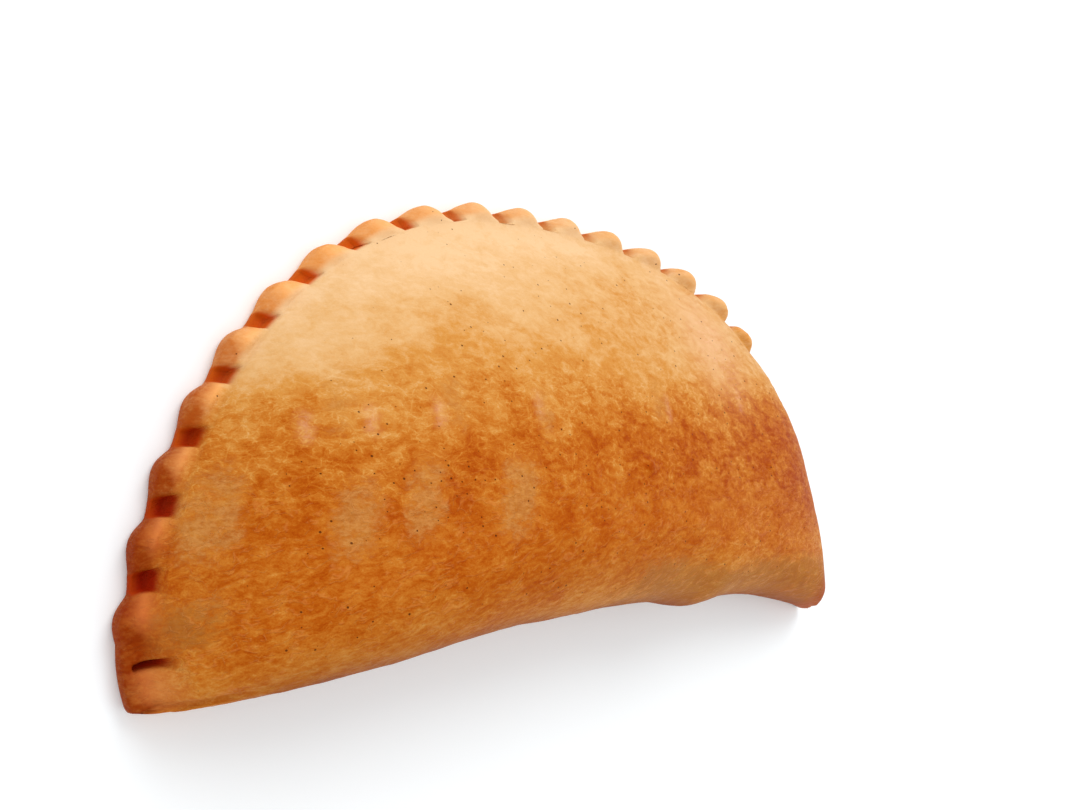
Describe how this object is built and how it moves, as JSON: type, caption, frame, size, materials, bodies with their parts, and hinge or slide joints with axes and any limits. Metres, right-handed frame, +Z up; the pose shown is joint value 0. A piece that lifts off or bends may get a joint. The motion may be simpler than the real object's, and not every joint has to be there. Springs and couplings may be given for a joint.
{
  "type": "baked turnover",
  "caption": "Closed half-moon pastry turnover, baked golden brown, folded along one side and crimped with finger dents along its arc.",
  "frame": {"origin": "centre of the bounding box in plan, on the flat underside", "axes": "+X along the fold from the left tip to the right tip, +Y from the fold to the crown of the crimped arc, +Z up out of the browned face"},
  "size_m": [0.1506, 0.0752, 0.0319],
  "materials": {
    "crust": "satin, egg-washed baked crust"
  },
  "bodies": {
    "root": {"turnover": "crust"}
  },
  "joints": []
}
